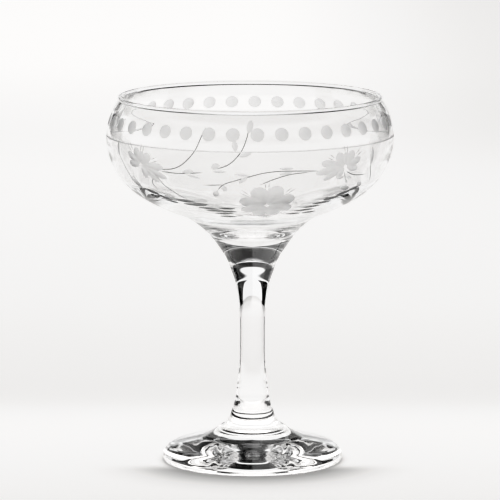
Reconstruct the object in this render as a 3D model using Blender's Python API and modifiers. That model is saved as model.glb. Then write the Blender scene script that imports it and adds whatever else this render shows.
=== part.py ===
"""A champagne coupe in clear glass: a cut bowl, a drawn stem and a round foot, fused end to end.

Metres, +Z up. The origin is the middle of the foot's underside. The profiles below are in
millimetres, as (radius, height). An outer profile runs downwards.
"""

import math

import bmesh
import bpy
from mathutils import Matrix, Vector
from mathutils.geometry import interpolate_bezier

MM = 0.001
NAME = "champagne_coupe"

HEIGHT = 128.6
RIM_RADIUS = 45.94
RIM_BEAD_RADIUS = 0.72
BOWL_SEAM = 67.2
FOOT_SEAM = 14.0
SEAM_GAP = 0.3

BAND_HEIGHT = 115.1
BAND_WIDTH = 0.5
BAND_DEPTH = 0.15
DOTS = 37
DOT_HEIGHT = 120.8
DOT_RADIUS = 2.4
DOT_DEPTH = 0.25
FIRST_DOT_DEG = -87.1

ROUND_STEPS = 64
STEM_STEPS = 40
BEAD_PIECES = 8
WALL_PIECES = 2
STEM_PIECES = 2
FOOT_PIECES = 2

# The wall leans out from the rim bead, is widest at 50 mm, and draws in to the seam with the stem.
BOWL_WALL = [
    (45.86, 127.15),
    (47.75, 123.8),
    (49.3, 119.3),
    (50.0, 113.6),
    (49.15, 108.1),
    (46.75, 102.3),
    (41.6, 96.3),
    (32.6, 90.6),
    (22.2, 86.0),
    (17.0, 82.2),
    (12.75, 77.1),
    (9.1, 71.5),
    (7.4, BOWL_SEAM + SEAM_GAP / 2),
]
# The inside runs up from the middle of the bowl's floor to the rim bead.
BOWL_INSIDE = [
    (0.0, 79.3),
    (11.5, 81.7),
    (22.8, 88.3),
    (35.0, 94.2),
    (43.2, 100.1),
    (47.0, 106.5),
    (48.7, 113.4),
    (47.95, 119.3),
    (44.62, 127.15),
]
STEM_SIDE = [
    (7.3, BOWL_SEAM - SEAM_GAP / 2),
    (6.15, 63.6),
    (5.2, 58.6),
    (4.5, 52.0),
    (4.38, 44.0),
    (4.5, 35.0),
    (5.3, 26.8),
    (6.27, 20.6),
    (7.75, 16.5),
    (8.7, FOOT_SEAM + SEAM_GAP / 2),
]
# The stem's cone meets the foot at a sharp bend, and the foot's top then falls away to a round edge.
FOOT_TOP = [
    (8.85, FOOT_SEAM - SEAM_GAP / 2),
    (11.0, 12.4),
    (14.5, 9.9),
    (20.0, 8.0),
    (27.0, 6.1),
    (30.4, 4.2),
    (31.4, 2.0),
    (31.3, 0.0),
]
# The foot stands on a flat ring, and its middle is raised a little.
FOOT_UNDERSIDE = [
    (29.0, 0.0),
    (20.0, 0.7),
    (10.0, 1.1),
    (0.0, 1.2),
]


def clear_scene():
    for old in list(bpy.data.objects):
        bpy.data.objects.remove(old, do_unlink=True)


def new_collection(name):
    collection = bpy.data.collections.new(name)
    bpy.context.scene.collection.children.link(collection)
    return collection


def glass(name):
    material = bpy.data.materials.new(name)
    material.use_nodes = True
    shader = material.node_tree.nodes["Principled BSDF"]
    shader.inputs["Base Color"].default_value = (0.98, 0.99, 0.99, 1)
    shader.inputs["Metallic"].default_value = 0.0
    shader.inputs["Roughness"].default_value = 0.02
    shader.inputs["IOR"].default_value = 1.52
    shader.inputs["Transmission Weight"].default_value = 1.0
    return material


def smooth(points, pieces):
    """A curve through the points, with this many straight pieces between neighbours."""
    knots = [Vector((r, 0, z)) for r, z in points]
    around = zip(knots[:1] + knots, knots[1:] + knots[-1:])
    along = [(after - before).normalized() for before, after in around]
    curve = [knots[0]]
    for start, end, leave, arrive in zip(knots, knots[1:], along, along[1:]):
        reach = (end - start).length / 3
        handles = (start + leave * reach, end - arrive * reach)
        curve += interpolate_bezier(start, *handles, end, pieces + 1)[1:]
    return [(point.x, point.z) for point in curve]


def turned(name, profile, steps, collection):
    """A closed solid: a profile that starts and ends on the axis, turned round Z."""
    mesh = bpy.data.meshes.new(name)
    points = [(r * MM, 0.0, z * MM) for r, z in profile]
    edges = [(i, i + 1) for i in range(len(points) - 1)]
    mesh.from_pydata(points, edges, [])
    mesh.materials.append(glass(name + "_glass"))
    obj = bpy.data.objects.new(name, mesh)
    collection.objects.link(obj)
    screw = obj.modifiers.new("turn", "SCREW")
    screw.steps = steps
    screw.render_steps = steps
    screw.use_merge_vertices = True
    screw.merge_threshold = 0.00001
    screw.use_smooth_shade = True
    return obj


def rim_bead():
    """The fire-polished rim, from its inner side over the top to its outer side."""
    middle_r = RIM_RADIUS - RIM_BEAD_RADIUS
    middle_z = HEIGHT - RIM_BEAD_RADIUS
    start = math.radians(210)
    end = math.radians(-30)
    turns = [start + (end - start) * k / BEAD_PIECES for k in range(BEAD_PIECES + 1)]
    return [
        (middle_r + RIM_BEAD_RADIUS * math.cos(a), middle_z + RIM_BEAD_RADIUS * math.sin(a))
        for a in turns
    ]


def radius_at(curve, height):
    """The radius of a falling curve at this height."""
    for (high_r, high_z), (low_r, low_z) in zip(curve, curve[1:]):
        if low_z <= height <= high_z:
            return high_r + (low_r - high_r) * (high_z - height) / (high_z - low_z)
    raise ValueError("the curve doesn't reach that height")


def with_band(curve):
    """The curve with the V-shaped line cut into it at BAND_HEIGHT."""
    top = BAND_HEIGHT + BAND_WIDTH / 2
    bottom = BAND_HEIGHT - BAND_WIDTH / 2
    groove = [
        (radius_at(curve, top), top),
        (radius_at(curve, BAND_HEIGHT) - BAND_DEPTH, BAND_HEIGHT),
        (radius_at(curve, bottom), bottom),
    ]
    above = [point for point in curve if point[1] > top]
    below = [point for point in curve if point[1] < bottom]
    return above + groove + below


def dot_cutters(wall, collection):
    """Flattened spheres set round the wall. Each one cuts one shallow round dot."""
    radius = radius_at(wall, DOT_HEIGHT)
    fall = radius_at(wall, DOT_HEIGHT - 1) - radius_at(wall, DOT_HEIGHT + 1)
    normal = Vector((2, 0, fall)).normalized()
    half_thickness = 2 * DOT_DEPTH
    half_width = DOT_RADIUS / math.sqrt(0.75)
    centre = Vector((radius, 0, DOT_HEIGHT)) + normal * (half_thickness - DOT_DEPTH)
    lean = normal.to_track_quat("Z", "Y").to_matrix().to_4x4()
    shape = Matrix.Diagonal((half_width, half_width, half_thickness, 1))
    cutters = bmesh.new()
    for k in range(DOTS):
        turn = Matrix.Rotation(math.radians(FIRST_DOT_DEG + 360 * k / DOTS), 4, "Z")
        place = Matrix.Scale(MM, 4) @ turn @ Matrix.Translation(centre) @ lean @ shape
        bmesh.ops.create_uvsphere(cutters, u_segments=12, v_segments=6, radius=1, matrix=place)
    mesh = bpy.data.meshes.new("dot_cutters")
    cutters.to_mesh(mesh)
    cutters.free()
    obj = bpy.data.objects.new("dot_cutters", mesh)
    collection.objects.link(obj)
    obj.hide_render = True
    obj.display_type = "WIRE"
    return obj


def bowl(collection, cutters):
    wall = smooth(BOWL_WALL, WALL_PIECES)
    inside = smooth(BOWL_INSIDE, WALL_PIECES)
    profile = inside + rim_bead() + with_band(wall) + [(0.0, wall[-1][1])]
    obj = turned("bowl", profile, ROUND_STEPS, collection)
    cut = obj.modifiers.new("dots", "BOOLEAN")
    cut.operation = "DIFFERENCE"
    cut.object = dot_cutters(wall, cutters)


def stem(collection):
    side = smooth(STEM_SIDE, STEM_PIECES)
    profile = [(0.0, side[0][1])] + side + [(0.0, side[-1][1])]
    turned("stem", profile, STEM_STEPS, collection)


def foot(collection):
    top = smooth(FOOT_TOP, FOOT_PIECES)
    profile = [(0.0, top[0][1])] + top + FOOT_UNDERSIDE
    turned("foot", profile, ROUND_STEPS, collection)


def main():
    clear_scene()
    collection = new_collection(NAME)
    cutters = new_collection("cutters")
    bowl(collection, cutters)
    stem(collection)
    foot(collection)


main()
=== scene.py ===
"""A cut champagne coupe in clear glass, on a pale studio floor.

Metres, +Z up, the glass standing on z = 0 with its axis on Z. The profiles below are in
millimetres, as (radius, height), and an outer profile runs downwards.
"""

import math

import bmesh
import bpy
import numpy as np
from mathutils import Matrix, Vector
from mathutils.geometry import delaunay_2d_cdt, interpolate_bezier
from mathutils.kdtree import KDTree


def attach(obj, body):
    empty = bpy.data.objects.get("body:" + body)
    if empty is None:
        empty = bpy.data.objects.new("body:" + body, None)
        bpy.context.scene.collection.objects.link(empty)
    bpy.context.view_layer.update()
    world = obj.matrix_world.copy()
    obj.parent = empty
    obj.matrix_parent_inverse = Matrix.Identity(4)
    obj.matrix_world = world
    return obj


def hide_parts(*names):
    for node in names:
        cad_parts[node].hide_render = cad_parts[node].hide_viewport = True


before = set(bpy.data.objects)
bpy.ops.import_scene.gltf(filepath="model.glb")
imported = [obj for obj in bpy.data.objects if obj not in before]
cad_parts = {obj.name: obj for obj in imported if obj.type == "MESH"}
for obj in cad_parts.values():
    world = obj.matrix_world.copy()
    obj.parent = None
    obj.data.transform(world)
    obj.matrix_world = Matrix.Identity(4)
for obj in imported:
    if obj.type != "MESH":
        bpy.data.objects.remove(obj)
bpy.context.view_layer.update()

MM = 0.001

HEIGHT = 128.6
RIM_RADIUS = 45.94
RIM_BEAD_RADIUS = 0.72
# The bead runs from the lining, over the top, to a crease on its outer side.
RIM_LINING_DEG = 210
RIM_CREASE_DEG = -29
BOWL_SEAM = 67.2
FOOT_SEAM = 14.0

# The stem and foot stand this far to the right of the bowl's axis. The shift is between two heights.
STEM_OFF_AXIS = 0.85
STRAIGHT_BELOW, STRAIGHT_ABOVE = 76.0, 92.0

ROUND_STEPS = 256
MAP_STEP = 2 * math.pi / ROUND_STEPS
CURVE_PIECES = 10
BEAD_PIECES = 16
# Points this close are one point: in metres on the glass, and on the wall's map.
WELD = 5e-7
MAP_WELD = 1e-6

CLEAR_SLOT, SEAM_SLOT, GROUND_SLOT, GROOVE_SLOT = 0, 1, 2, 3
GLASS_IOR = 1.52
GROUND_ROUGHNESS = 0.4
GROUND_TINT = 0.72
# A groove is tinted dark: painted shade for the dark look of its steep sides.
GROOVE_PAINTED_SHADE = 0.08
# The noise that raises and lowers a surface: (scale, detail, strength, depth in millimetres).
WAVES = (70, 1.0, 1.0, 0.06)
GRAIN = (2500, 3.0, 0.35, 0.05)

BOWL_WALL = [
    (45.65, 127.16),
    (47.75, 123.8),
    (49.3, 119.3),
    (50.0, 113.6),
    (49.15, 108.1),
    (46.75, 102.3),
    (41.6, 96.3),
    (32.6, 90.6),
    (22.2, 86.0),
    (17.0, 82.2),
    (12.75, 77.1),
    (9.1, 71.5),
    (7.4, BOWL_SEAM),
]
BOWL_INSIDE = [
    (0.0, 79.3),
    (11.5, 81.7),
    (22.8, 88.3),
    (35.0, 94.2),
    (43.2, 100.1),
    (47.0, 106.5),
    (48.7, 113.4),
    (47.95, 119.3),
    (44.62, 127.15),
]
STEM_SIDE = [
    (7.4, BOWL_SEAM),
    (6.15, 63.6),
    (5.2, 58.6),
    (4.5, 52.0),
    (4.38, 44.0),
    (4.5, 35.0),
    (5.3, 26.8),
    (6.27, 20.6),
    (7.75, 16.5),
    (8.75, FOOT_SEAM),
]
FOOT_TOP = [
    (8.75, FOOT_SEAM),
    (9.6, 13.2),
    (11.0, 12.4),
    (12.5, 11.2),
    (14.5, 9.9),
    (17.0, 8.75),
    (20.0, 8.0),
    (24.0, 7.0),
    (27.0, 6.1),
    (29.0, 5.3),
    (30.4, 4.2),
    (31.4, 2.4),
    (31.35, 1.0),
    (31.0, 0.3),
    (30.4, 0.0),
]
FOOT_UNDERSIDE = [
    (30.4, 0.0),
    (29.0, 0.0),
    (20.0, 0.7),
    (10.0, 1.1),
    (0.0, 1.2),
]

# The cuts. A place on the wall is (azimuth, down): degrees from the front, towards +X, and
# millimetres down the wall from the rim bead. A turn of 0 degrees points to the right, 90 up.
DOTS = 37
DOT_DOWN = 7.06
DOT_RADIUS = 2.4
DOT_DEPTH = 0.25
FIRST_DOT = 2.9
BAND_DOWN = 12.87
BAND_WIDTH = 0.4
LINE_WIDTH = 0.3
LINE_DEPTH = 0.15
LINE_PIECES = 8
# A line narrows to this share of its width over this length at both ends.
LINE_TIP = 0.15
LINE_TAPER = 2.0
PETAL_DEPTH = 0.3
LEAF_DEPTH = 0.18
# The ends of a hollow are round at 0.5, and more pointed above that.
ROUND_ENDS = 0.5
LEAF_ENDS = 0.8
# A petal is fuller by this share towards its outer end, and slimmer towards its inner end.
PETAL_LEAN = 0.25
STAMEN_LENGTH = 2.8
STAMEN_GAP = 0.9
STAMEN_WIDTH = 0.8 * LINE_WIDTH
FLOWER_EYE = 0.7
# The wall's plain mesh keeps this far from the cuts, which have their own points.
CLEAR_OF_CUTS = 0.45
LEAST_GUIDE_STEPS = 12
GUIDE_STEPS_PER_MM = 1.6
# The wall's mesh is closed up between two dots, where only the band crosses.
SEAM_AZIMUTH = FIRST_DOT + 9.5 * 360 / DOTS

# Petals of a flower seen from its side: (turn, length, width).
SIDE_PETALS = [
    (169, 10.5, 2.8),
    (188, 12.0, 2.6),
    (207, 9.5, 2.3),
    (130, 6.4, 3.4),
    (95, 5.0, 2.6),
    (60, 6.2, 3.2),
    (20, 7.4, 2.6),
    (348, 6.2, 2.4),
    (236, 5.2, 2.2),
]
SIDE_STAMENS = [(150, 6.0), (92, 4.6), (38, 6.0)]
FULL_PETALS = [(22.5 + 45 * k, 9.6, 5.4) for k in range(8)]
FULL_STAMENS = [(45 + 45 * k, 8.4) for k in range(8)]
# (azimuth, down, petals, stamens, mirrored, turn)
FLOWERS = [
    (41, 19.5, SIDE_PETALS, SIDE_STAMENS, False, 0),
    (-49, 19.5, SIDE_PETALS, SIDE_STAMENS, True, -12),
    (8, 35.0, FULL_PETALS, FULL_STAMENS, False, 4),
]
VINES = [
    [(-40, 20.5), (-32, 19.6), (-27, 17.5), (-22, 13.0), (-19.5, 8.0), (-18, 4.3)],
    [(-38, 21.0), (-30, 21.2), (-19, 20.4)],
    [(-14, 19.2), (-8, 17.0), (-3.5, 12.8), (-1.2, 8.0), (-0.5, 4.5)],
    [(28, 20.2), (19, 19.8), (11, 19.7), (5, 20.3), (0, 21.5), (-6, 23.1), (-11, 24.8), (-14, 27.5)],
    [(24, 20.4), (16, 21.0), (10, 22.5), (4, 24.7)],
    [(-46, 16.2), (-42, 21.5), (-38, 27.0), (-30, 32.6)],
    [(-64, 17.0), (-62, 20.0), (-60, 23.4), (-55, 30.0)],
    [(57, 19.8), (58, 22.0), (60, 24.7), (62, 27.4)],
    [(41, 21.3), (42, 23.2), (43, 24.8)],
    [(42, 21.3), (47, 23.0), (55, 23.6)],
    [(-42, 23.0), (-45, 26.0), (-44, 29.0)],
    [(-11, 24.8), (-19, 25.2)],
]
# (azimuth, down, turn, length, width)
LEAVES = [
    (-28, 20.6, 8, 4.4, 1.7),
    (-26, 21.6, -12, 5.0, 0.8),
    (-15.5, 18.6, 20, 3.4, 2.3),
    (-15, 19.8, 0, 5.0, 0.9),
    (-5.5, 12.8, 100, 4.2, 2.0),
    (-4.5, 14.4, 14, 4.6, 1.5),
    (-0.5, 6.6, 80, 5.0, 2.3),
    (17.5, 18.9, 178, 5.4, 0.9),
    (17, 20.2, 188, 4.6, 1.2),
    (0, 21.4, 172, 5.4, 0.9),
    (-1, 21.8, 215, 3.8, 1.5),
    (-11, 25.0, -80, 2.8, 2.0),
    (-14, 27.3, 250, 3.2, 2.4),
    (-60, 24.0, -60, 6.0, 1.8),
    (-57, 24.0, -75, 6.4, 2.0),
    (-64, 17.6, 92, 5.2, 1.6),
    (57, 20.4, 92, 6.4, 2.2),
    (41.6, 23.0, 200, 2.6, 1.0),
    (42.6, 23.2, -20, 3.0, 0.9),
    (42.8, 24.4, -50, 2.4, 0.9),
    (48, 29.0, 165, 5.0, 2.2),
    (56, 28.5, 150, 4.0, 2.0),
    (-42, 31.5, -30, 5.0, 1.6),
]
# Dark streaks low on the bowl, as narrow hollows tinted dark: painted shade. (azimuth, down, turn,
# length, width).
STREAKS = [
    (-53, 29.6, -16, 6.5, 1.8),
    (-47, 31.6, -20, 7.0, 1.4),
    (-44, 34.2, -14, 6.0, 1.2),
    (-37, 33.4, -4, 8.0, 1.9),
    (-34, 35.6, -2, 9.0, 1.7),
    (-28, 34.6, -8, 6.0, 1.4),
    (-27, 37.6, -4, 8.0, 1.6),
    (-24, 39.6, 0, 8.0, 1.6),
    (-20, 41.8, 0, 7.0, 1.6),
    (-16, 37.4, 0, 6.0, 1.4),
    (-16, 40.0, 2, 6.0, 1.3),
    (-18, 44.4, 0, 6.0, 1.6),
    (24, 40.2, 4, 7.5, 1.6),
    (27, 37.8, 6, 7.5, 1.5),
    (31, 35.6, 6, 8.0, 1.6),
    (36, 33.6, 12, 7.0, 1.5),
    (42, 31.6, 14, 6.5, 1.7),
    (48, 30.0, 16, 5.5, 1.6),
    (30, 42.6, 4, 6.0, 1.5),
    (20, 42.6, 0, 6.0, 1.4),
]


def smooth(points, pieces):
    """A curve through the points, with this many straight pieces between neighbours."""
    knots = [Vector((r, 0, z)) for r, z in points]
    around = zip(knots[:1] + knots, knots[1:] + knots[-1:])
    along = [(after - before).normalized() for before, after in around]
    curve = [knots[0]]
    for start, end, leave, arrive in zip(knots, knots[1:], along, along[1:]):
        reach = (end - start).length / 3
        handles = (start + leave * reach, end - arrive * reach)
        curve += interpolate_bezier(start, *handles, end, pieces + 1)[1:]
    return [(point.x, point.z) for point in curve]


def rim_bead():
    """The fire-polished rim, from its inner side over the top to its outer side."""
    middle_r = RIM_RADIUS - RIM_BEAD_RADIUS
    middle_z = HEIGHT - RIM_BEAD_RADIUS
    start = math.radians(RIM_LINING_DEG)
    end = math.radians(RIM_CREASE_DEG)
    turns = [start + (end - start) * k / BEAD_PIECES for k in range(BEAD_PIECES + 1)]
    return [
        (middle_r + RIM_BEAD_RADIUS * math.cos(a), middle_z + RIM_BEAD_RADIUS * math.sin(a))
        for a in turns
    ]


def glass(name, tint, roughness, scale, detail, strength, depth):
    """Clear or ground glass, with a surface that a noise raises and lowers."""
    material = bpy.data.materials.new(name)
    material.use_nodes = True
    nodes = material.node_tree.nodes
    links = material.node_tree.links
    shader = nodes["Principled BSDF"]
    shader.inputs["Base Color"].default_value = (tint, tint, tint, 1)
    shader.inputs["Roughness"].default_value = roughness
    shader.inputs["IOR"].default_value = GLASS_IOR
    shader.inputs["Transmission Weight"].default_value = 1.0
    place = nodes.new("ShaderNodeTexCoord")
    noise = nodes.new("ShaderNodeTexNoise")
    noise.inputs["Scale"].default_value = scale
    noise.inputs["Detail"].default_value = detail
    links.new(place.outputs["Object"], noise.inputs["Vector"])
    bump = nodes.new("ShaderNodeBump")
    bump.inputs["Strength"].default_value = strength
    bump.inputs["Distance"].default_value = depth * MM
    links.new(noise.outputs["Fac"], bump.inputs["Height"])
    links.new(bump.outputs["Normal"], shader.inputs["Normal"])
    return material


def fused_seam():
    """The face where two pieces are fused, which can't be seen."""
    material = bpy.data.materials.new("fused_seam")
    material.use_nodes = True
    nodes = material.node_tree.nodes
    nodes.clear()
    out = nodes.new("ShaderNodeOutputMaterial")
    passing = nodes.new("ShaderNodeBsdfTransparent")
    material.node_tree.links.new(passing.outputs["BSDF"], out.inputs["Surface"])
    return material


# The finishes, in the order of their slots.
FINISHES = [
    glass("clear_glass", 1.0, 0.0, *WAVES),
    fused_seam(),
    glass("ground_glass", GROUND_TINT, GROUND_ROUGHNESS, *GRAIN),
    # The cut lines' finish is tinted dark: painted shade.
    glass("cut_line", GROOVE_PAINTED_SHADE, GROUND_ROUGHNESS, *GRAIN),
]


def off_axis(z):
    """How far the glass's axis has moved to the right at this height."""
    share = np.clip((STRAIGHT_ABOVE - z) / (STRAIGHT_ABOVE - STRAIGHT_BELOW), 0, 1)
    return STEM_OFF_AXIS * share * share * (3 - 2 * share)


def spots_at(r, turn, z):
    """Points in metres at these radii and heights in millimetres, turned from the front."""
    return np.stack([r * np.sin(turn) + off_axis(z), -r * np.cos(turn), z], axis=-1) * MM


def outward(profile):
    """The outward normals (along the radius, up) at the points of a profile."""
    tangents = np.gradient(profile, axis=0)
    normals = np.stack([-tangents[:, 1], tangents[:, 0]], axis=1)
    return normals / np.linalg.norm(normals, axis=1)[:, None]


def turned_normals(normals, turn):
    """These normals of a profile, turned from the front."""
    along_r = normals[..., 0]
    return np.stack([along_r * np.sin(turn), -along_r * np.cos(turn), normals[..., 1]], axis=-1)


# The turned outer side, from the rim bead to the foot, cut in two where the bowl meets the stem.
OUTLINE = np.array(smooth(BOWL_WALL + STEM_SIDE[1:], CURVE_PIECES))
SEAM_AT = (len(BOWL_WALL) - 1) * CURVE_PIECES
WALL = OUTLINE[:SEAM_AT + 1]
WALL_NORMALS = outward(OUTLINE)[:SEAM_AT + 1]

# The wall is laid out flat on a map. Across is the angle from the seam azimuth. Down is chosen so
# that a small shape on the map is the same shape on the glass, at 1 radian to the wall's radius.
WALL_STEPS = np.hypot(*np.diff(WALL, axis=0).T)
WALL_DOWN = np.concatenate([[0.0], np.cumsum(WALL_STEPS)])
WALL_MAP = np.concatenate([[0.0], np.cumsum(2 * WALL_STEPS / (WALL[:-1, 0] + WALL[1:, 0]))])


def map_spot(azimuth, down):
    across = math.radians(azimuth - SEAM_AZIMUTH) % (2 * math.pi)
    return np.array([across, np.interp(down, WALL_DOWN, WALL_MAP)])


def radius_on_map(map_down):
    return np.interp(map_down, WALL_MAP, WALL[:, 0])


class Hollow:
    """A hollow ground along a straight line from a place."""

    slot = GROUND_SLOT

    def __init__(self, azimuth, down, turn, length, width, depth, ends, lean=0.0):
        self.start = map_spot(azimuth, down)
        self.scale = radius_on_map(self.start[1])
        self.along = np.array([math.cos(math.radians(turn)), -math.sin(math.radians(turn))])
        self.across = np.array([-self.along[1], self.along[0]])
        self.length = length
        self.width = width
        self.depth = depth
        self.ends = ends
        self.lean = lean

    def half_width(self, share):
        swell = np.clip(4 * share * (1 - share), 0, 1) ** self.ends
        return self.width / 2 * swell * (1 + self.lean * (2 * share - 1))

    def lane(self, shares, offset):
        """A guide along the hollow, from one side at -1 to the other at 1."""
        sideways = offset * self.half_width(shares)
        steps = np.outer(shares * self.length, self.along) + np.outer(sideways, self.across)
        return self.start + steps / self.scale

    def guides(self):
        count = max(LEAST_GUIDE_STEPS, round(self.length * GUIDE_STEPS_PER_MM))
        shares = (1 - np.cos(np.pi * np.arange(count + 1) / count)) / 2
        return [self.lane(shares, offset) for offset in (-1, -0.5, 0, 0.5, 1)]

    def depth_at(self, spots):
        local = (spots - self.start) * self.scale
        share = local @ self.along / self.length
        half = np.maximum(self.half_width(share), 1e-9)
        fall = 1 - (local @ self.across / half) ** 2
        swell = np.clip(4 * share * (1 - share), 0, 1) ** (2 * self.ends)
        inside = (share > 0) & (share < 1) & (fall > 0)
        return np.where(inside, self.depth * swell * fall, 0.0)


class Streak(Hollow):
    """A long narrow hollow, tinted dark as painted shade."""

    slot = GROOVE_SLOT


class Line:
    """A thin V-shaped cut along a curve through some places. It tapers at both ends."""

    # A line's finish is tinted dark: painted shade for its steep sides.
    slot = GROOVE_SLOT

    def __init__(self, places, width=LINE_WIDTH):
        self.path = np.array([map_spot(*place) for place in smooth(places, LINE_PIECES)])
        scale = radius_on_map(self.path[:, 1])
        steps = np.linalg.norm(np.diff(self.path, axis=0), axis=1) * scale[1:]
        run = np.concatenate([[0.0], np.cumsum(steps)])
        taper = np.clip(np.minimum(run, run[-1] - run) / LINE_TAPER, LINE_TIP, 1)
        self.half = width / 2 * taper / scale

    def guides(self):
        along = np.gradient(self.path, axis=0)
        along /= np.linalg.norm(along, axis=1)[:, None]
        sideways = np.stack([-along[:, 1], along[:, 0]], axis=1) * self.half[:, None]
        outline = [self.path + sideways, (self.path - sideways)[::-1]]
        return [np.concatenate(outline + [outline[0][:1]]), self.path]

    def depth_at(self, spots):
        deepest = np.zeros(len(spots))
        low = self.path.min(axis=0) - self.half.max()
        high = self.path.max(axis=0) + self.half.max()
        near = np.flatnonzero(np.all((spots > low) & (spots < high), axis=1))
        for start, end, half0, half1 in zip(self.path, self.path[1:], self.half, self.half[1:]):
            along = end - start
            share = np.clip((spots[near] - start) @ along / (along @ along), 0, 1)
            away = np.linalg.norm(spots[near] - start - share[:, None] * along, axis=1)
            half = half0 + (half1 - half0) * share
            depth = LINE_DEPTH * np.clip(1 - away / half, 0, 1)
            deepest[near] = np.maximum(deepest[near], depth)
        return deepest


class Band:
    """The V-shaped line cut all the way round."""

    slot = GROUND_SLOT

    def guides(self):
        across = np.arange(ROUND_STEPS + 1) * MAP_STEP
        edges = [BAND_DOWN - BAND_WIDTH / 2, BAND_DOWN, BAND_DOWN + BAND_WIDTH / 2]
        downs = [map_spot(0, down)[1] for down in edges]
        return [np.stack([across, np.full(len(across), down)], axis=1) for down in downs]

    def depth_at(self, spots):
        down = np.interp(spots[:, 1], WALL_MAP, WALL_DOWN)
        return LINE_DEPTH * np.clip(1 - abs(down - BAND_DOWN) / (BAND_WIDTH / 2), 0, 1)


def ring_of_dots():
    """The dots' hollows. Each starts at the dot's left side and is as wide as it is long."""
    half_dot = math.degrees(DOT_RADIUS / radius_on_map(map_spot(0, DOT_DOWN)[1]))
    size = 2 * DOT_RADIUS
    starts = [FIRST_DOT + 360 * k / DOTS - half_dot for k in range(DOTS)]
    return [Hollow(start, DOT_DOWN, 0, size, size, DOT_DEPTH, ROUND_ENDS) for start in starts]


def flower(azimuth, down, petals, stamens, mirrored, turn):
    """Petals round an eye, with pairs of thin stamens between them."""
    cuts = []
    degrees_per_mm = math.degrees(1 / radius_on_map(map_spot(azimuth, down)[1]))

    def placed(angle, away):
        """The place this far from the flower's middle, and the heading there."""
        angle = math.radians((180 - angle if mirrored else angle) + turn)
        place = (azimuth + away * math.cos(angle) * degrees_per_mm, down - away * math.sin(angle))
        return place, math.degrees(angle)

    for angle, length, width in petals:
        place, heading = placed(angle, FLOWER_EYE)
        shape = (length - FLOWER_EYE, width, PETAL_DEPTH, ROUND_ENDS, PETAL_LEAN)
        cuts.append(Hollow(*place, heading, *shape))
    for angle, away in stamens:
        for sideways in (-STAMEN_GAP / 2, STAMEN_GAP / 2):
            spread = math.degrees(sideways / away)
            inner, _ = placed(angle + spread, away)
            outer, _ = placed(angle + spread, away + STAMEN_LENGTH)
            cuts.append(Line([inner, outer], STAMEN_WIDTH))
    return cuts


def all_cuts():
    cuts = [Band()] + ring_of_dots()
    for row in FLOWERS:
        cuts += flower(*row)
    cuts += [Line(places) for places in VINES]
    cuts += [Hollow(*row, LEAF_DEPTH, LEAF_ENDS) for row in LEAVES]
    cuts += [Streak(*row, LEAF_DEPTH, LEAF_ENDS) for row in STREAKS]
    return cuts


def guide_lines(cuts):
    """The points of every guide of every cut on the map, and the edges between them."""
    spots = []
    edges = []
    for cut in cuts:
        for guide in cut.guides():
            first = len(spots)
            spots.extend(guide)
            edges.extend((k, k + 1) for k in range(first, len(spots) - 1))
    return spots, edges


def grid_between(cut_spots):
    """A grid over the map, without its points next to a cut. Its two end rows are whole."""
    tree = KDTree(len(cut_spots))
    for k, (across, down) in enumerate(cut_spots):
        tree.insert((across, down, 0), k)
    tree.balance()
    grid = []
    rows = round(WALL_MAP[-1] / MAP_STEP)
    for row in range(rows + 1):
        down = WALL_MAP[-1] * row / rows
        clear = CLEAR_OF_CUTS / radius_on_map(down)
        for column in range(ROUND_STEPS + 1):
            across = column * MAP_STEP
            if row in (0, rows) or tree.find((across, down, 0))[2] > clear:
                grid.append((across, down))
    return grid


def wall_plan(cuts):
    """The wall's map as triangles, with an edge along every guide of every cut."""
    spots, edges = guide_lines(cuts)
    spots += grid_between(spots)
    found = delaunay_2d_cdt([Vector(spot) for spot in spots], edges, [], 0, MAP_WELD)
    corners = np.array([tuple(spot) for spot in found[0]])
    faces = np.array([tuple(face) for face in found[2] if len(face) == 3])
    return corners, faces


def depth_of(cuts, spots):
    return np.max([cut.depth_at(spots) for cut in cuts], axis=0)


def finish_of(cuts, spots):
    """The material slot at each place on the map. A hollow shows over a groove."""
    slots = np.full(len(spots), CLEAR_SLOT)
    for slot in (GROOVE_SLOT, GROUND_SLOT):
        chosen = [cut for cut in cuts if cut.slot == slot]
        slots[depth_of(chosen, spots) > 0] = slot
    return slots


def along_wall(values, spots):
    """The wall's pairs of values at these places on the map."""
    return np.stack([np.interp(spots[:, 1], WALL_MAP, values[:, k]) for k in (0, 1)], axis=1)


def facing_out(points, faces, normals):
    """The triangles, turned to face the way the normals do, and their own normals."""
    edge_a = points[faces[:, 1]] - points[faces[:, 0]]
    edge_b = points[faces[:, 2]] - points[faces[:, 0]]
    flat_normals = np.cross(edge_a, edge_b)
    inwards = (flat_normals * normals[faces[:, 0]]).sum(axis=1) < 0
    flat_normals[inwards] *= -1
    turned = np.where(inwards[:, None], faces[:, ::-1], faces)
    return turned, flat_normals


def wall_skin(cuts):
    """The cut wall: its points, its triangles, the normal at each corner, and each one's material."""
    plan, faces = wall_plan(cuts)
    turn = plan[:, 0] + math.radians(SEAM_AZIMUTH)
    normals = along_wall(WALL_NORMALS, plan)
    sunk = along_wall(WALL, plan) - normals * depth_of(cuts, plan)[:, None]
    points = spots_at(sunk[:, 0], turn, sunk[:, 1])
    smooth_normals = turned_normals(normals, turn)
    slots = finish_of(cuts, plan[faces].mean(axis=1))
    faces, flat_normals = facing_out(points, faces, smooth_normals)
    # Inside a cut, a point's normal is the mean of the cut's own faces, so its edge stays sharp.
    is_cut = slots != CLEAR_SLOT
    cut_normals = np.zeros_like(points)
    for corner in range(3):
        np.add.at(cut_normals, faces[is_cut, corner], flat_normals[is_cut])
    corner_normals = np.where(is_cut[:, None, None], cut_normals[faces], smooth_normals[faces])
    return points, faces, corner_normals, slots


RING_TURNS = np.arange(ROUND_STEPS) * MAP_STEP + math.radians(SEAM_AZIMUTH)
RING = np.arange(ROUND_STEPS)
RING_NEXT = (RING + 1) % ROUND_STEPS


def ring(r, z):
    """Points round the glass at this radius and height."""
    return spots_at(np.full(ROUND_STEPS, r), RING_TURNS, np.full(ROUND_STEPS, z))


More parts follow.
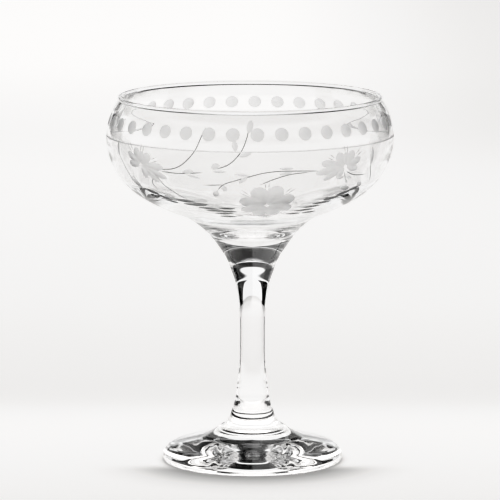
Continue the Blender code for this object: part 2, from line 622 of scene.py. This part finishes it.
def ring_skin(profile):
    """A turned strip with the corner normals of its profile, from the axis or from a ring."""
    profile = np.array(profile)
    normals = [np.tile(normal, (ROUND_STEPS, 1)) for normal in outward(profile)]
    points = np.concatenate([ring(r, z) for r, z in profile])
    shades = np.concatenate([turned_normals(normal, RING_TURNS) for normal in normals])
    faces = []
    for row in range(len(profile) - 1):
        upper = row * ROUND_STEPS
        lower = upper + ROUND_STEPS
        corners = [upper + RING, lower + RING, lower + RING_NEXT, upper + RING_NEXT]
        faces.append(np.stack(corners, axis=1))
    faces = np.concatenate(faces)
    return points, faces, shades[faces], np.full(len(faces), CLEAR_SLOT)


def cap_skin(r, z, up):
    """A flat disc across the glass, where two pieces are fused."""
    middle = spots_at(np.zeros(1), np.zeros(1), np.full(1, z))
    points = np.concatenate([ring(r, z), middle])
    faces = np.stack([RING, RING_NEXT, np.full(ROUND_STEPS, ROUND_STEPS)], axis=1)
    shades = np.tile((0.0, 0.0, up), (ROUND_STEPS, 3, 1))
    return points, faces, shades, np.full(ROUND_STEPS, SEAM_SLOT)


def use_shades(mesh):
    """Makes the mesh's stored corner normals its own."""
    shades = np.empty(3 * len(mesh.loops), np.float32)
    mesh.attributes["shade"].data.foreach_get("vector", shades)
    mesh.attributes.remove(mesh.attributes["shade"])
    shades = shades.reshape(-1, 3)
    shades /= np.maximum(np.linalg.norm(shades, axis=1), 1e-12)[:, None]
    mesh.normals_split_custom_set(shades)


def joined(name, node, skins):
    """One closed piece of glass from its skins, welded where they meet."""
    shape = bmesh.new()
    shade = shape.loops.layers.float_vector.new("shade")
    for points, faces, normals, slots in skins:
        verts = [shape.verts.new(point) for point in points]
        for corners, corner_normals, material_slot in zip(faces, normals, slots):
            face = shape.faces.new([verts[k] for k in corners])
            face.smooth = True
            face.material_index = int(material_slot)
            for loop, normal in zip(face.loops, corner_normals):
                loop[shade] = normal
    bmesh.ops.remove_doubles(shape, verts=shape.verts, dist=WELD)
    bmesh.ops.recalc_face_normals(shape, faces=shape.faces)
    mesh = bpy.data.meshes.new(name)
    shape.to_mesh(mesh)
    shape.free()
    for material in FINISHES:
        mesh.materials.append(material)
    use_shades(mesh)
    obj = bpy.data.objects.new(name, mesh)
    bpy.context.scene.collection.objects.link(obj)
    # The glass casts no shadow: its shadow and gathered light are painted into the floor's finish.
    obj.visible_shadow = False
    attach(obj, "root")
    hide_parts(node)


def bowl():
    lining = smooth(BOWL_INSIDE, CURVE_PIECES) + rim_bead() + [tuple(WALL[0])]
    skins = [ring_skin(lining), wall_skin(all_cuts()), cap_skin(*WALL[-1], -1.0)]
    joined("cut_bowl", "bowl", skins)


def stem():
    side = OUTLINE[SEAM_AT:]
    skins = [cap_skin(*side[0], 1.0), ring_skin(side), cap_skin(*side[-1], -1.0)]
    joined("drawn_stem", "stem", skins)


def foot():
    top = smooth(FOOT_TOP, CURVE_PIECES)
    underside = [(r, max(z, 0.0)) for r, z in smooth(FOOT_UNDERSIDE, CURVE_PIECES)]
    skins = [cap_skin(*top[0], 1.0), ring_skin(top), ring_skin(underside)]
    joined("round_foot", "foot", skins)


# The stage, in metres and degrees. Clear glass shows what is round it, so the floor's glow, the
# bright horizon and the dark cards draw its outlines.
CAMERA_PLACE = (0, -1.5, 0.3051)
CAMERA_DOWN_DEG = 8.7476
CAMERA_SENSOR_MM = 36
CAMERA_LENS_MM = 313.2
CAMERA_CLIP = 0.05, 50
# The camera's tone curve.
CONTRAST = [(0.03, 0.012), (0.12, 0.09), (0.5, 0.54), (0.8, 0.875), (0.9, 0.935)]
COMBINED_CURVE = 3
# Light runs a long way inside the wall of the bowl.
BOUNCES = 128

FLOOR_HALF = 6.0
FLOOR_WHITE = (1.0, 0.988, 0.975)
FLOOR_PAINT = (0.8, 0.79, 0.78)
FLOOR_ROUGHNESS = 0.9
# The floor's own glow by distance behind the glass, in metres, from in front to far behind.
FLOOR_GLOW = [
    (-0.10, 0.30),
    (-0.02, 0.385),
    (0.035, 0.43),
    (0.08, 0.43),
    (0.11, 0.29),
    (0.16, 0.29),
    (0.34, 0.35),
    (0.70, 0.42),
    (1.00, 0.49),
    (1.25, 0.60),
    (1.70, 0.67),
]
# The painted shadow and painted light on the floor at each distance from the foot's middle, as a
# share of its glow: (mm, share).
# In front, a painted shadow rings the foot's edge. Behind, painted light stands for the light that
# the clear foot gathers.
PAINTED_SHADE_IN_FRONT = [
    (0, 1.2),
    (12, 1.0),
    (24, 1.0),
    (27.5, 0.6),
    (30, 0.35),
    (34, 0.45),
    (37, 0.57),
    (41, 0.7),
    (46, 0.85),
    (52, 0.94),
    (60, 1.0),
]
PAINTED_LIGHT_BEHIND = [
    (0, 1.2),
    (8, 1.3),
    (12, 1.45),
    (28, 1.45),
    (31, 1.0),
    (56, 1.0),
]
PAINTED_SHADE_AT_SIDES = [
    (0, 1.2),
    (12, 1.0),
    (24, 1.0),
    (27.5, 0.6),
    (31, 0.45),
    (32, 0.8),
    (34, 1.0),
    (56, 1.0),
]
# Behind the glass, the painted light is full this far to either side, and the painted shade is as at
# the sides from the second distance on.
GATHER_FULL, GATHER_NONE = 0.005, 0.013
# The painted shade in front turns into the painted one behind between these places on Y.
SHADE_TURNS_FROM, SHADE_TURNS_TO = -0.021, -0.008
# The glow falls away to this share towards both sides. It starts further out behind the glass, by
# this lean for each metre.
SIDE_FROM, SIDE_TO, SIDE_SHARE = 0.12, 0.35, 0.3
SIDE_LEAN = 0.5
# The glow is less by this much towards the floor's far right.
RIGHT_DIMMING = 0.2
RIGHT_FROM, RIGHT_TO = 0.0, 0.18
BEHIND_FROM, BEHIND_TO = 0.25, 1.4

# A card's angles round the glass are from straight behind it, towards the left.
CARD_STEPS = 24
# Low dark cards close to the glass on both sides: (name, start, end).
FLAGS = [("left_flag", 56, 80), ("right_flag", -100, -56)]
FLAG_RADIUS = 0.08
FLAG_HEIGHT = 0.042
# Dark cards far behind on both sides: (name, side). Their inner edges lean in.
WINGS = [("left_wing", 1), ("right_wing", -1)]
WING_RADIUS = 1.2
WING_LOW_DEG, WING_HIGH_DEG = 1.5, 15.0
WING_INNER_LOW_DEG, WING_INNER_HIGH_DEG, WING_OUTER_DEG = 33, 12, 57
SOFTBOX_DISTANCE = 1.3
SOFTBOX_HALF_WIDTH_DEG = 52
SOFTBOX_LOW_DEG, SOFTBOX_HIGH_DEG = 35, 40
SOFTBOX_GLOW = 1.1

LAMP_W = 24
LAMP_SIZE = 2.0
LAMP_PLACE = (0, 0.3, 2.0)

# The horizon glows up to this angle, and its edge is this soft.
HORIZON_GLOW = 0.87
HORIZON_TOP_DEG = 15.2
HORIZON_EDGE = 0.02
# The room round the glass is dim on the left and almost dark on the right.
ROOM_LEFT, ROOM_RIGHT = 0.09, 0.004
ROOM_EDGE = 0.02


def stage_mesh(name, corners, faces, material):
    mesh = bpy.data.meshes.new(name)
    mesh.from_pydata(corners, [], faces)
    mesh.materials.append(material)
    obj = bpy.data.objects.new(name, mesh)
    bpy.context.scene.collection.objects.link(obj)
    return obj


def map_range(tree, value, start, end, low=0.0, high=1.0, kind="SMOOTHSTEP"):
    """A number that goes from low to high as the value goes from start to end."""
    node = tree.nodes.new("ShaderNodeMapRange")
    node.interpolation_type = kind
    node.inputs["From Min"].default_value = start
    node.inputs["From Max"].default_value = end
    node.inputs["To Min"].default_value = low
    node.inputs["To Max"].default_value = high
    tree.links.new(value, node.inputs["Value"])
    return node.outputs["Result"]


def grey_ramp(tree, share, stops, kind="LINEAR"):
    """A grey that goes through these stops, (share, grey)."""
    node = tree.nodes.new("ShaderNodeValToRGB")
    node.color_ramp.interpolation = kind
    elements = node.color_ramp.elements
    while len(elements) < len(stops):
        elements.new(1.0)
    for element, (position, grey) in zip(elements, stops):
        element.position = position
        element.color = (grey, grey, grey, 1)
    tree.links.new(share, node.inputs["Fac"])
    return node.outputs["Color"]


def blend(tree, share, first, second):
    """The first number where the share is 0, and the second where it is 1."""
    node = tree.nodes.new("ShaderNodeMix")
    tree.links.new(share, node.inputs["Factor"])
    tree.links.new(first, node.inputs["A"])
    tree.links.new(second, node.inputs["B"])
    return node.outputs["Result"]


def math_node(tree, operation, first, second=None):
    """This operation on one or two numbers, each a socket or a plain float."""
    node = tree.nodes.new("ShaderNodeMath")
    node.operation = operation
    for socket, value in zip(node.inputs, (first, second)):
        if isinstance(value, float):
            socket.default_value = value
        elif value is not None:
            tree.links.new(value, socket)
    return node.outputs["Value"]


def by_radius(tree, place, shares):
    """A factor by the distance from the foot's middle."""
    away = tree.nodes.new("ShaderNodeVectorMath")
    away.operation = "DISTANCE"
    away.inputs[1].default_value = (STEM_OFF_AXIS * MM, 0, 0)
    tree.links.new(place, away.inputs[0])
    widest = shares[-1][0]
    stops = [(radius / widest, share) for radius, share in shares]
    span = map_range(tree, away.outputs["Value"], 0.0, widest * MM, kind="LINEAR")
    return grey_ramp(tree, span, stops)


def painted_foot_shade(tree, place, x, y):
    """The shadow and gathered light painted on the floor near the foot, as a share of its glow and
    colour.
    """
    gathered = map_range(tree, math_node(tree, "ABSOLUTE", x), GATHER_FULL, GATHER_NONE, 1.0, 0.0)
    at_sides = by_radius(tree, place, PAINTED_SHADE_AT_SIDES)
    behind = blend(tree, gathered, at_sides, by_radius(tree, place, PAINTED_LIGHT_BEHIND))
    turning = map_range(tree, y, SHADE_TURNS_FROM, SHADE_TURNS_TO)
    return blend(tree, turning, by_radius(tree, place, PAINTED_SHADE_IN_FRONT), behind)


def side_fall(tree, x, y):
    """The share of the glow that is left towards both sides."""
    middle = math_node(tree, "MULTIPLY", math_node(tree, "MAXIMUM", y, 0.0), SIDE_LEAN)
    away = math_node(tree, "SUBTRACT", math_node(tree, "ABSOLUTE", x), middle)
    return map_range(tree, away, SIDE_FROM, SIDE_TO, 1.0, SIDE_SHARE)


def glow_behind(tree, y):
    """The floor's own glow by distance behind the glass."""
    nearest = FLOOR_GLOW[0][0]
    depth = FLOOR_GLOW[-1][0] - nearest
    stops = [((away - nearest) / depth, glow) for away, glow in FLOOR_GLOW]
    span = map_range(tree, y, nearest, nearest + depth, kind="LINEAR")
    return grey_ramp(tree, span, stops, "B_SPLINE")


def right_dimming(tree, x, y):
    to_right = map_range(tree, x, RIGHT_FROM, RIGHT_TO, 0.0, RIGHT_DIMMING)
    return math_node(tree, "MULTIPLY", to_right, map_range(tree, y, BEHIND_FROM, BEHIND_TO))


def floor_finish():
    material = bpy.data.materials.new("studio_floor")
    material.use_nodes = True
    tree = material.node_tree
    shader = tree.nodes["Principled BSDF"]
    shader.inputs["Roughness"].default_value = FLOOR_ROUGHNESS
    shader.inputs["Specular IOR Level"].default_value = 0.0
    shader.inputs["Emission Color"].default_value = (*FLOOR_WHITE, 1)
    place = tree.nodes.new("ShaderNodeTexCoord").outputs["Object"]
    split = tree.nodes.new("ShaderNodeSeparateXYZ")
    tree.links.new(place, split.inputs["Vector"])
    x = split.outputs["X"]
    y = split.outputs["Y"]
    # The foot's shadow and gathered light are painted into the floor's glow and colour.
    shade = painted_foot_shade(tree, place, x, y)
    glow = math_node(tree, "SUBTRACT", glow_behind(tree, y), right_dimming(tree, x, y))
    glow = math_node(tree, "MULTIPLY", glow, shade)
    glow = math_node(tree, "MULTIPLY", glow, side_fall(tree, x, y))
    tree.links.new(glow, shader.inputs["Emission Strength"])
    # The floor's colour is darkened by the painted shadow as well.
    paint = tree.nodes.new("ShaderNodeVectorMath")
    paint.operation = "SCALE"
    paint.inputs["Vector"].default_value = FLOOR_PAINT
    tree.links.new(math_node(tree, "MINIMUM", shade, 1.0), paint.inputs["Scale"])
    tree.links.new(paint.outputs["Vector"], shader.inputs["Base Color"])
    return material


def floor():
    signs = [(-1, -1), (1, -1), (1, 1), (-1, 1)]
    corners = [(FLOOR_HALF * x, FLOOR_HALF * y, 0) for x, y in signs]
    stage_mesh("studio_floor", corners, [(0, 1, 2, 3)], floor_finish())


def black():
    material = bpy.data.materials.new("black_card")
    material.use_nodes = True
    shader = material.node_tree.nodes["Principled BSDF"]
    shader.inputs["Base Color"].default_value = (0.0, 0.0, 0.0, 1)
    shader.inputs["Roughness"].default_value = 1
    shader.inputs["Specular IOR Level"].default_value = 0.0
    return material


def white_glow():
    material = bpy.data.materials.new("softbox")
    material.use_nodes = True
    nodes = material.node_tree.nodes
    nodes.clear()
    out = nodes.new("ShaderNodeOutputMaterial")
    light = nodes.new("ShaderNodeEmission")
    light.inputs["Color"].default_value = (1, 1, 1, 1)
    light.inputs["Strength"].default_value = SOFTBOX_GLOW
    material.node_tree.links.new(light.outputs["Emission"], out.inputs["Surface"])
    return material


def arc_card(name, material, low, high, starts, end):
    """A curved card round Z. It starts at one angle along its low edge and another along its high
    edge. Each edge is (radius, height), and the camera doesn't see the card itself."""
    corners = []
    for k in range(CARD_STEPS + 1):
        for (radius, z), start in zip((low, high), starts):
            turn = math.radians(start + (end - start) * k / CARD_STEPS)
            corners.append((-radius * math.sin(turn), radius * math.cos(turn), z))
    faces = [(2 * k, 2 * k + 1, 2 * k + 3, 2 * k + 2) for k in range(CARD_STEPS)]
    card = stage_mesh(name, corners, faces, material)
    card.visible_camera = False
    return card


def dark_cards():
    material = black()
    cards = []
    for name, start, end in FLAGS:
        low = (FLAG_RADIUS, 0.0)
        high = (FLAG_RADIUS, FLAG_HEIGHT)
        cards.append(arc_card(name, material, low, high, (start, start), end))
    for name, side in WINGS:
        low = (WING_RADIUS, WING_RADIUS * math.tan(math.radians(WING_LOW_DEG)))
        high = (WING_RADIUS, WING_RADIUS * math.tan(math.radians(WING_HIGH_DEG)))
        starts = (side * WING_INNER_LOW_DEG, side * WING_INNER_HIGH_DEG)
        cards.append(arc_card(name, material, low, high, starts, side * WING_OUTER_DEG))
    for card in cards:
        card.visible_diffuse = False
        card.visible_shadow = False


def softbox():
    """A bright card high up behind the glass."""
    heights = [math.radians(SOFTBOX_LOW_DEG), math.radians(SOFTBOX_HIGH_DEG)]
    low, high = [
        (SOFTBOX_DISTANCE * math.cos(height), SOFTBOX_DISTANCE * math.sin(height))
        for height in heights
    ]
    starts = (-SOFTBOX_HALF_WIDTH_DEG, -SOFTBOX_HALF_WIDTH_DEG)
    arc_card("softbox", white_glow(), low, high, starts, SOFTBOX_HALF_WIDTH_DEG)


def overhead_lamp():
    """A wide soft lamp that lights the floor and isn't seen in the glass."""
    lamp = bpy.data.lights.new("overhead", "AREA")
    lamp.shape = "RECTANGLE"
    lamp.size = LAMP_SIZE
    lamp.size_y = LAMP_SIZE
    lamp.energy = LAMP_W
    overhead = bpy.data.objects.new("overhead", lamp)
    overhead.location = LAMP_PLACE
    bpy.context.scene.collection.objects.link(overhead)
    overhead.visible_glossy = False
    overhead.visible_transmission = False
    overhead.visible_camera = False


def room():
    """The world: a bright horizon in a dim room."""
    world = bpy.data.worlds.new("studio")
    bpy.context.scene.world = world
    world.use_nodes = True
    tree = world.node_tree
    background = tree.nodes["Background"]
    where = tree.nodes.new("ShaderNodeTexCoord")
    split = tree.nodes.new("ShaderNodeSeparateXYZ")
    tree.links.new(where.outputs["Generated"], split.inputs["Vector"])
    top = math.sin(math.radians(HORIZON_TOP_DEG))
    stops = [(top, HORIZON_GLOW), (top + HORIZON_EDGE, 0.0)]
    horizon = grey_ramp(tree, split.outputs["Z"], stops)
    x = split.outputs["X"]
    dim = map_range(tree, x, -ROOM_EDGE, ROOM_EDGE, ROOM_LEFT, ROOM_RIGHT, "LINEAR")
    both = tree.nodes.new("ShaderNodeMix")
    both.data_type = "RGBA"
    both.blend_type = "ADD"
    both.inputs["Factor"].default_value = 1.0
    tree.links.new(horizon, both.inputs["A"])
    tree.links.new(dim, both.inputs["B"])
    tree.links.new(both.outputs["Result"], background.inputs["Color"])
    background.inputs["Strength"].default_value = 1.0


def camera():
    data = bpy.data.cameras.new("camera")
    data.sensor_width = CAMERA_SENSOR_MM
    data.lens = CAMERA_LENS_MM
    data.clip_start, data.clip_end = CAMERA_CLIP
    obj = bpy.data.objects.new("camera", data)
    obj.location = CAMERA_PLACE
    obj.rotation_euler = (math.radians(90 - CAMERA_DOWN_DEG), 0, 0)
    bpy.context.scene.collection.objects.link(obj)
    bpy.context.scene.camera = obj


def tone_curve():
    view = bpy.context.scene.view_settings
    view.view_transform = "Standard"
    view.use_curve_mapping = True
    for point in CONTRAST:
        view.curve_mapping.curves[COMBINED_CURVE].points.new(*point)
    view.curve_mapping.update()


def long_light_paths():
    cycles = bpy.context.scene.cycles
    cycles.max_bounces = BOUNCES
    cycles.transmission_bounces = BOUNCES
    cycles.transparent_max_bounces = BOUNCES
    cycles.glossy_bounces = BOUNCES


bowl()
stem()
foot()
floor()
dark_cards()
softbox()
overhead_lamp()
room()
camera()
tone_curve()
long_light_paths()
